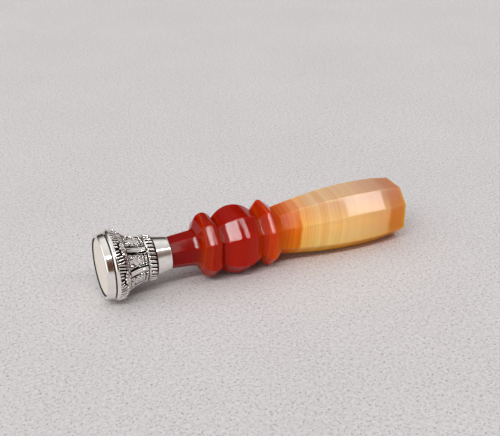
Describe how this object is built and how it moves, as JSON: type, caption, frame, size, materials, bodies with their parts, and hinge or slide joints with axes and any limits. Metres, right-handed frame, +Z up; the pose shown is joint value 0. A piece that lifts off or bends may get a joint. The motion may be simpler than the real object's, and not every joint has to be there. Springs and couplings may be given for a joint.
{
  "type": "wax seal stamp",
  "caption": "Desk seal lying on its side: a faceted, banded agate handle with collars and a bulb, set in a chased silver bell with gadrooned borders and a blank flat matrix.",
  "frame": {"origin": "on the surface that the seal lies on, under the middle of its box", "axes": "+X along the seal from its face to its pommel, +Y to the left of that, +Z up"},
  "size_m": [0.0842, 0.0182, 0.0182],
  "materials": {
    "agate": "polished, translucent, banded",
    "silver": "polished silver, dark in the chasing",
    "brass": "as drawn",
    "cement": "shellac cement, matt"
  },
  "bodies": {
    "root": {"agate_handle": "agate", "neck_collar": "silver", "upper_border": "silver", "bell_body": "silver", "lower_border": "silver", "foot_plate": "silver", "seal_matrix": "silver", "handle_tang": "brass", "setting_cement": "cement"}
  },
  "joints": []
}
